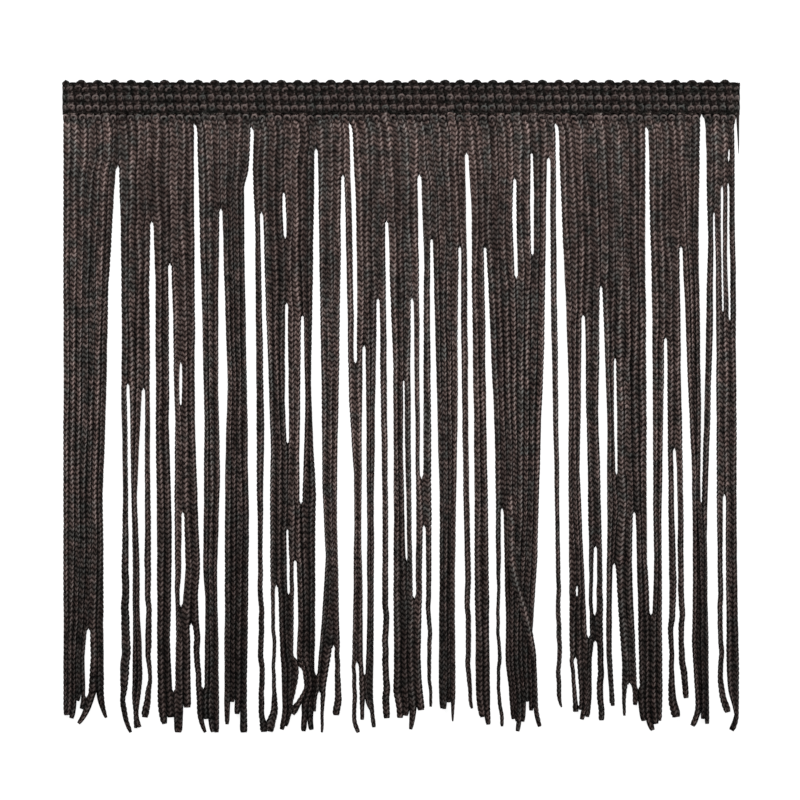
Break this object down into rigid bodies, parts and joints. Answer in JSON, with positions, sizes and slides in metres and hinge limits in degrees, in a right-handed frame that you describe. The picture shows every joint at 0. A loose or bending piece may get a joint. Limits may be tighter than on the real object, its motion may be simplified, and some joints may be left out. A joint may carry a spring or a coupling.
{
  "type": "chainette fringe trim",
  "caption": "Trim of soft knitted cord: looped top edge, narrow heading bound by rows of chain stitch, and a long skirt of free cut strands, lying flat.",
  "frame": {"origin": "on the surface that the trim lies on, under the middle of its box", "axes": "+X along the heading, +Y up the trim from the tips to the top loops, +Z out of its face"},
  "size_m": [0.1578, 0.1524, 0.0022],
  "materials": {
    "chainette_cord": "soft knitted viscose cord, very dark brown with a low sheen",
    "bound_cord": "the same cord, packed side by side in the heading",
    "binding_yarn": "fine spun polyester stitching, near black"
  },
  "bodies": {
    "root": {"heading_band": "bound_cord", "chainette_fringe": "chainette_cord", "binding_chain_upper": "binding_yarn", "binding_chain_middle": "binding_yarn", "binding_chain_lower": "binding_yarn"}
  },
  "joints": []
}
